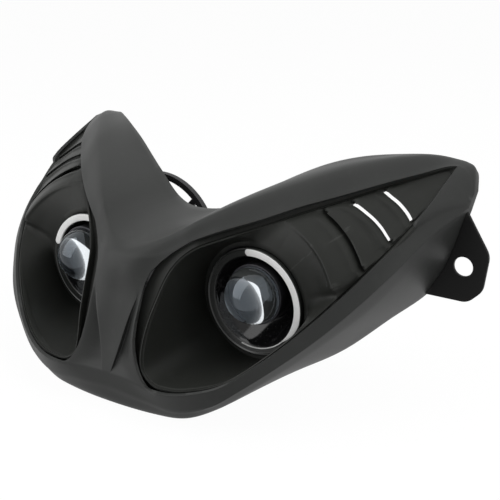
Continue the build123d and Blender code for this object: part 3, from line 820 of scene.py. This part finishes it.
def end_tree(tree, geometry, finish):
    real = tree_node(tree, "GeometryNodeRealizeInstances", None, {0: geometry})
    painted = tree_node(tree, "GeometryNodeSetMaterial", None,
                        {"Geometry": real, "Material": finish})
    tree_node(tree, "NodeGroupOutput", None, {0: painted})
    return tree


def rib_tree(finish):
    """Fine ribs that stand across an arc."""
    tree = new_tree("light guide ribs", {"Count": 60, "Radius": 0.0368, "Start": 0.0,
                                         "Sweep": 1.0, "Length": 0.004, "Width": 0.0003})
    given = tree.nodes.new("NodeGroupInput").outputs
    arc = tree_node(tree, "GeometryNodeCurveArc", {"mode": "RADIUS"},
                    {"Resolution": given["Count"], "Radius": given["Radius"],
                     "Start Angle": given["Start"], "Sweep Angle": given["Sweep"]})
    size = tree_node(tree, "ShaderNodeCombineXYZ", None,
                     {0: given["Length"], 1: given["Width"], 2: 0.0003})
    bar = tree_node(tree, "GeometryNodeMeshCube", None, {"Size": size})
    spot = tree_node(tree, "GeometryNodeInputPosition")
    turn = tree_node(tree, "FunctionNodeAlignRotationToVector", {"axis": "X", "pivot_axis": "Z"},
                     {"Vector": spot})
    bars = tree_node(tree, "GeometryNodeInstanceOnPoints", None,
                     {"Points": arc, "Instance": bar, "Rotation": turn})
    return end_tree(tree, bars, finish)


def lifted(tree, geometry, size, share):
    """The geometry moved up by a share of a size."""
    rise = tree_node(tree, "ShaderNodeMath", {"operation": "MULTIPLY"}, {0: size, 1: share})
    up = tree_node(tree, "ShaderNodeCombineXYZ", None, {2: rise})
    return tree_node(tree, "GeometryNodeTransform", None,
                     {"Geometry": geometry, "Translation": up})


def screw_tree(finish):
    """Pan-head cross screws along Y, one at each vertex: the head is on the +Y side."""
    tree = new_tree("cross screws", {"Head Radius": 0.0026, "Head": 0.002, "Length": 0.007,
                                     "Shank Radius": 0.0015})
    given = tree.nodes.new("NodeGroupInput").outputs
    head = tree_node(tree, "GeometryNodeMeshCylinder", None,
                     {"Vertices": 32, "Radius": given["Head Radius"], "Depth": given["Head"]})
    width = tree_node(tree, "ShaderNodeMath", {"operation": "MULTIPLY"},
                      {0: given["Head Radius"], 1: 1.1})
    bars = []
    for long_axis in (0, 1):
        size = tree_node(tree, "ShaderNodeCombineXYZ", None,
                         {long_axis: width, 1 - long_axis: 0.0007, 2: 0.0016})
        bar = tree_node(tree, "GeometryNodeMeshCube", None, {"Size": size})
        bars.append(tree_node(tree, "GeometryNodeTransform", None,
                              {"Geometry": bar, "Translation": (0, 0, 0.001)}))
    cut = tree_node(tree, "GeometryNodeMeshBoolean", {"operation": "DIFFERENCE"},
                    {"Mesh 1": head, "Mesh 2": bars})
    shank = tree_node(tree, "GeometryNodeMeshCylinder", None,
                      {"Vertices": 16, "Radius": given["Shank Radius"], "Depth": given["Length"]})
    both = tree_node(tree, "GeometryNodeJoinGeometry", None,
                     {0: [lifted(tree, cut, given["Head"], 0.5),
                          lifted(tree, shank, given["Length"], -0.5)]})
    turned = tree_node(tree, "GeometryNodeTransform", None,
                       {"Geometry": both, "Rotation": (-math.pi / 2, 0, 0)})
    screws = tree_node(tree, "GeometryNodeInstanceOnPoints", None,
                       {"Points": given["Geometry"], "Instance": turned})
    return end_tree(tree, screws, finish)


def grow(name, tree, places, sizes):
    """Object made by a geometry node tree from points, turned into a plain mesh."""
    mesh = bpy.data.meshes.new(name)
    mesh.from_pydata([(Vector(p) + SHIFT) * MM for p in places], [], [])
    piece = add_object(name, mesh)
    modifier = piece.modifiers.new("repeat", "NODES")
    modifier.node_group = tree
    for item in tree.interface.items_tree:
        if item.in_out == "INPUT" and item.name in sizes:
            modifier[item.identifier] = sizes[item.name]
    return apply_modifiers(piece)


SHARE = {"subtype": "FACTOR", "min": 0, "max": 1}
COLOUR = {"subtype": "COLOR", "size": 3, "min": 0, "max": 1}


class HeadlightSizes(bpy.types.PropertyGroup):
    skin: bpy.props.FloatProperty(
        name="Skin", description="Wall of the mask, in millimetres", default=2.4, min=1.0, max=5.0)
    edge: bpy.props.FloatProperty(
        name="Edge", description="Rounding of the mask's edges, in millimetres", default=0.8,
        min=0.1, max=2.0)
    panel: bpy.props.FloatProperty(
        name="Panel", description="Wall of the inner panels, in millimetres", default=1.9,
        min=1.0, max=4.0)
    louvre_rise: bpy.props.FloatProperty(
        name="Louvre rise", description="How far a louvre's edge stands proud, in millimetres",
        default=2.8, min=0.0, max=5.0)
    ribs: bpy.props.IntProperty(
        name="Guide ribs", description="Number of fine ribs on a light guide", default=96, min=4,
        max=400)


class HeadlightFinish(bpy.types.PropertyGroup):
    mask_colour: bpy.props.FloatVectorProperty(
        name="Mask colour", description="Colour of the outer moulding",
        default=(0.018, 0.0187, 0.018), **COLOUR)
    mask_roughness: bpy.props.FloatProperty(
        name="Mask roughness", description="Roughness of the outer moulding", default=0.46, **SHARE)
    panel_colour: bpy.props.FloatVectorProperty(
        name="Panel colour", description="Colour of the inner panels",
        default=(0.0118, 0.0124, 0.0112), **COLOUR)
    panel_roughness: bpy.props.FloatProperty(
        name="Panel roughness", description="Roughness of the inner panels", default=0.42, **SHARE)
    guide_colour: bpy.props.FloatVectorProperty(
        name="Guide colour", description="Colour of the light guides",
        default=(0.58, 0.58, 0.575), **COLOUR)


class HeadlightStage(bpy.types.PropertyGroup):
    azimuth: bpy.props.FloatProperty(
        name="Azimuth", description="How far the camera is turned to the left", subtype="ANGLE",
        default=math.radians(34.1))
    elevation: bpy.props.FloatProperty(
        name="Elevation", description="How far the camera looks down", subtype="ANGLE",
        default=math.radians(18.4))
    lens: bpy.props.FloatProperty(
        name="Lens", description="Focal length, in millimetres", unit="CAMERA", default=72.0)
    key: bpy.props.FloatProperty(
        name="Key light", description="Power of the left softbox, in watts", unit="POWER",
        default=22.0, min=0)
    world: bpy.props.FloatProperty(
        name="World light", description="Strength of the even light from all round",
        default=0.36, min=0)


class HEADLIGHT_OT_mask(bpy.types.Operator):
    """Build the outer moulding with its two mounting ears"""

    bl_idname = "headlight.mask"
    bl_label = "Outer mask"

    def execute(self, context):
        sizes = context.scene.headlight_sizes
        bm = bmesh.new()
        mask_skin(bm)
        skin = finish_mesh(bm, "mask_moulding", Vector((0, -0.6, 0.8)))
        thicken(skin, sizes.skin, sizes.edge, 3, 38)
        whole = bmesh.new()
        whole.from_mesh(skin.data)
        for side in (1, -1):
            mesh = ear_mesh(side)
            whole.from_mesh(mesh)
            bpy.data.meshes.remove(mesh)
        low, high = CAD_BOX
        for v in whole.verts:
            for k in range(3):
                v.co[k] = min(high[k], max(low[k], v.co[k]))
        whole.to_mesh(skin.data)
        whole.free()
        for face in skin.data.polygons:
            face.use_smooth = True
        settle(skin, ["outer_mask"], finish_for("mask"))
        return {"FINISHED"}


class HEADLIGHT_OT_panels(bpy.types.Operator):
    """Build the two inner panels with their louvres"""

    bl_idname = "headlight.panels"
    bl_label = "Inner panels"

    def execute(self, context):
        sizes = context.scene.headlight_sizes
        for name, side in SIDES.items():
            bm = panel_mesh(side, sizes.louvre_rise)
            piece = finish_mesh(bm, "panel_moulding_" + name, Vector((0, -1, 0)))
            thicken(piece, sizes.panel, 0.45, 2, 42)
            settle(piece, ["inner_panel_" + name], finish_for("panel"))
        return {"FINISHED"}


class HEADLIGHT_OT_rings(bpy.types.Operator):
    """Build the lamp rings and the dark dishes inside them"""

    bl_idname = "headlight.rings"
    bl_label = "Rings and dishes"

    def execute(self, context):
        for name, side in SIDES.items():
            profile = rounded([(RING_IN, -RING_DEPTH), (RING_IN, -1.7), (RING_IN + 0.5, -1.1),
                               (RING_R - 1.9, -0.5), (RING_R - 1.3, 0), (RING_R, 0),
                               (RING_R, -RING_DEPTH)], 0.35)
            ring = turned_piece("ring_" + name, profile, side, segments=160)
            settle(ring, ["bezel_ring_" + name], finish_for("bezel"))
            bm = bmesh.new()
            rows = []
            for turn in [2 * math.pi * i / 128 for i in range(128)]:
                row = []
                for t in ways_through(1, 14):
                    radius = RING_IN - 0.02 + (HOLDER_R + 0.05 - RING_IN) * t
                    depth = BOWL_FRONT + BOWL_DEPTH * math.sin(0.5 * math.pi * t)**BOWL_STEEP
                    row.append(Vector((PROJECTOR[0] * t + radius * math.cos(turn), depth,
                                       PROJECTOR[1] * t + radius * math.sin(turn))))
                rows.append(row)
            add_grid(bm, rows, closed=True)
            at_side(bm, side)
            dish = finish_mesh(bm, "dish_" + name, Vector((0, -1, 0)))
            thicken(dish, 1.2, 0.2, 2, 50)
            settle(dish, ["projector_bowl_" + name], finish_for("bowl"))
        return {"FINISHED"}


class HEADLIGHT_OT_guides(bpy.types.Operator):
    """Build the crescent light guides and their fine ribs"""

    bl_idname = "headlight.guides"
    bl_label = "Light guides"

    def execute(self, context):
        count = context.scene.headlight_sizes.ribs
        finish = finish_for("guide")
        tree = rib_tree(finish)
        for name, side in SIDES.items():
            start = GUIDE_START[name]
            bm = guide_mesh(start)
            for v in bm.verts:
                v.co.x += side * LAMP_X
            guide = finish_mesh(bm, "guide_" + name)
            settle(guide, ["light_guide_" + name], finish)
            sweep = -math.radians(GUIDE_FULL - 6)
            ribs = grow("guide_ribs_" + name, tree, [(0, 0, 0)],
                        {"Count": count, "Start": math.radians(start - 3), "Sweep": sweep,
                         "Length": 0.0043})
            turn = Matrix.Rotation(math.pi / 2, 4, "X")
            centre = (Vector((side * LAMP_X, -0.05, 0)) + SHIFT) * MM
            ribs.data.transform(Matrix.Translation(centre) @ turn)
            settle(ribs, [], finish)
        return {"FINISHED"}


class HEADLIGHT_OT_lenses(bpy.types.Operator):
    """Build the domed lenses and their holders"""

    bl_idname = "headlight.lenses"
    bl_label = "Lenses"

    def execute(self, context):
        turns = [i * math.pi / 96 for i in range(1, 49)]
        profile = [(0.0, LENS_FRONT + LENS_R)]
        profile += [(LENS_R * math.sin(t), LENS_FRONT + LENS_R * math.cos(t)) for t in turns]
        profile += [(LENS_R, -0.2), (LENS_R - 0.3, -0.4), (0.0, -0.4)]
        dome = [(r * 0.998, z) for r, z in profile]
        sleeve = rounded([(LENS_R, 2.8), (HOLDER_R, 2.8), (HOLDER_R, -18), (HOLDER_RIM_R, -18),
                          (HOLDER_RIM_R, -20), (LENS_R, -20), (LENS_R, -1.9),
                          (HOLDER_LIP_R, -1.9), (HOLDER_LIP_R, -0.4), (LENS_R, -0.4)], 0.25)
        for name, side in SIDES.items():
            lens = turned_piece("dome_" + name, dome, side, PROJECTOR, 160)
            settle(lens, ["lens_" + name], finish_for("glass"))
            holder = turned_piece("holder_" + name, sleeve, side, PROJECTOR)
            settle(holder, ["lens_holder_" + name], finish_for("holder"))
        return {"FINISHED"}


class HEADLIGHT_OT_screws(bpy.types.Operator):
    """Build the lamps' and the panels' cross screws"""

    bl_idname = "headlight.screws"
    bl_label = "Screws"

    def execute(self, context):
        finish = finish_for("zinc")
        tree = screw_tree(finish)
        ring, ears, posts = [], [], []
        for side in SIDES.values():
            for screws, (angles, radius, y) in ((ring, RING_SCREWS), (ears, EAR_SCREWS)):
                for turn in map(math.radians, angles):
                    screws.append((side * (LAMP_X + radius * math.cos(turn)), y,
                                   radius * math.sin(turn)))
            posts += [(side * x, y, z) for x, y, z in POSTS]
        for name, places, node, head, length in (
                ("ring_screws", ring, "lamp_screws", 0.0026, 0.0068),
                ("ear_screws", ears, "lamp_screws", 0.0026, 0.0058),
                ("post_screws", posts, "panel_screws", 0.0055, 0.0078)):
            piece = grow(name, tree, places, {"Head Radius": head, "Length": length})
            settle(piece, [node], finish)
        return {"FINISHED"}


class HEADLIGHT_OT_hidden(bpy.types.Operator):
    """Give the solids inside and behind the lamps their finishes"""

    bl_idname = "headlight.hidden"
    bl_label = "Lamp cans and inner parts"

    def execute(self, context):
        kinds = {"lamp_can": "can", "rear_cap": "rubber", "reflector": "bright", "bulb": "steel",
                 "bulb_clip": "steel", "cutoff_shield": "steel", "guide_board": "board"}
        for node, kind in kinds.items():
            for name in SIDES:
                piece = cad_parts[node + "_" + name]
                if not piece.material_slots:
                    piece.data.materials.append(None)
                for slot in piece.material_slots:
                    slot.material = finish_for(kind)
        return {"FINISHED"}


class HEADLIGHT_OT_stage(bpy.types.Operator):
    """Set the pale floor, the soft lights and the camera"""

    bl_idname = "headlight.stage"
    bl_label = "Stage"

    def seen(self, tree):
        """1 for rays from the camera or by way of gloss or glass."""
        path = tree.nodes.new("ShaderNodeLightPath").outputs
        share = path["Is Camera Ray"]
        for name in ("Is Glossy Ray", "Is Transmission Ray"):
            share = tree_node(tree, "ShaderNodeMath", {"operation": "MAXIMUM"},
                              {0: share, 1: path[name]})
        return share

    def join(self, tree, share, lit, shown, output):
        """Ends the tree in the lit shader, mixed with the one that the camera sees."""
        mix = tree_node(tree, "ShaderNodeMixShader", None, {0: share, 1: lit, 2: shown})
        tree_node(tree, output, None, {0: mix})

    def execute(self, context):
        scene = context.scene
        stage = scene.headlight_stage
        scene.view_settings.view_transform = "Standard"
        world = bpy.data.worlds.new("even studio")
        world.use_nodes = True
        scene.world = world
        tree = world.node_tree
        tree.nodes.clear()
        white = (1, 1, 1, 1)
        dim, bright = (tree_node(tree, "ShaderNodeBackground", None, {0: white, 1: strength})
                       for strength in (stage.world, 1.0))
        self.join(tree, self.seen(tree), dim, bright, "ShaderNodeOutputWorld")

        bm = bmesh.new()
        bmesh.ops.create_grid(bm, x_segments=1, y_segments=1, size=4.0)
        mesh = bpy.data.meshes.new("floor")
        bm.to_mesh(mesh)
        bm.free()
        floor = add_object("floor", mesh)
        floor.location = (0, 0, CAD_BOX[0][2] - 0.001)
        paint = bpy.data.materials.new("pale floor")
        paint.use_nodes = True
        tree = paint.node_tree
        tree.nodes.clear()
        matt = tree_node(tree, "ShaderNodeBsdfDiffuse", None, {0: (0.7, 0.7, 0.7, 1)})
        glow = tree_node(tree, "ShaderNodeEmission", None, {1: 1.0})
        share = tree_node(tree, "ShaderNodeMath", {"operation": "MULTIPLY"},
                          {0: self.seen(tree), 1: 0.97})
        self.join(tree, share, matt, glow, "ShaderNodeOutputMaterial")
        floor.data.materials.append(paint)

        for name, (place, wide, tall, share, shows) in LIGHTS.items():
            light = bpy.data.lights.new(name, "AREA")
            light.shape = "RECTANGLE"
            light.size = wide
            light.size_y = tall
            light.energy = share * stage.key
            lamp = add_object(name, light)
            lamp.location = place
            aim = Vector((0, -0.1, 0)) - Vector(place)
            lamp.rotation_euler = aim.to_track_quat("-Z", "Y").to_euler()
            lamp.visible_glossy = shows
            lamp.visible_transmission = False

        view = bpy.data.cameras.new("photo view")
        view.lens = stage.lens
        view.sensor_width = 36.0
        view.clip_start = 0.01
        camera = add_object("photo view", view)
        camera.location = CAMERA_PLACE
        camera.rotation_euler = (math.pi / 2 - stage.elevation, 0, stage.azimuth)
        scene.camera = camera
        return {"FINISHED"}


class HEADLIGHT_PT_build(bpy.types.Panel):
    """Lists the headlight's pieces in the order they are built"""

    bl_label = "Headlight"
    bl_space_type = "VIEW_3D"
    bl_region_type = "UI"
    bl_category = "Headlight"

    def draw(self, context):
        for group in ("headlight_sizes", "headlight_finish", "headlight_stage"):
            settings = getattr(context.scene, group)
            for name in settings.__annotations__:
                self.layout.prop(settings, name)
        for operator in OPERATORS:
            self.layout.operator(operator.bl_idname)


OPERATORS = (HEADLIGHT_OT_stage, HEADLIGHT_OT_mask, HEADLIGHT_OT_panels, HEADLIGHT_OT_rings,
             HEADLIGHT_OT_guides, HEADLIGHT_OT_lenses, HEADLIGHT_OT_screws, HEADLIGHT_OT_hidden)
GROUPS = {"headlight_sizes": HeadlightSizes, "headlight_finish": HeadlightFinish,
          "headlight_stage": HeadlightStage}


def register():
    for group in GROUPS.values():
        bpy.utils.register_class(group)
    for name, group in GROUPS.items():
        setattr(bpy.types.Scene, name, bpy.props.PointerProperty(type=group))
    for piece in OPERATORS + (HEADLIGHT_PT_build,):
        bpy.utils.register_class(piece)


def unregister():
    for piece in reversed(OPERATORS + (HEADLIGHT_PT_build,)):
        bpy.utils.unregister_class(piece)
    for name, group in GROUPS.items():
        delattr(bpy.types.Scene, name)
        bpy.utils.unregister_class(group)


def main():
    register()
    for operator in OPERATORS:
        getattr(bpy.ops.headlight, operator.bl_idname.split(".")[1])()


if __name__ == "__main__":
    main()
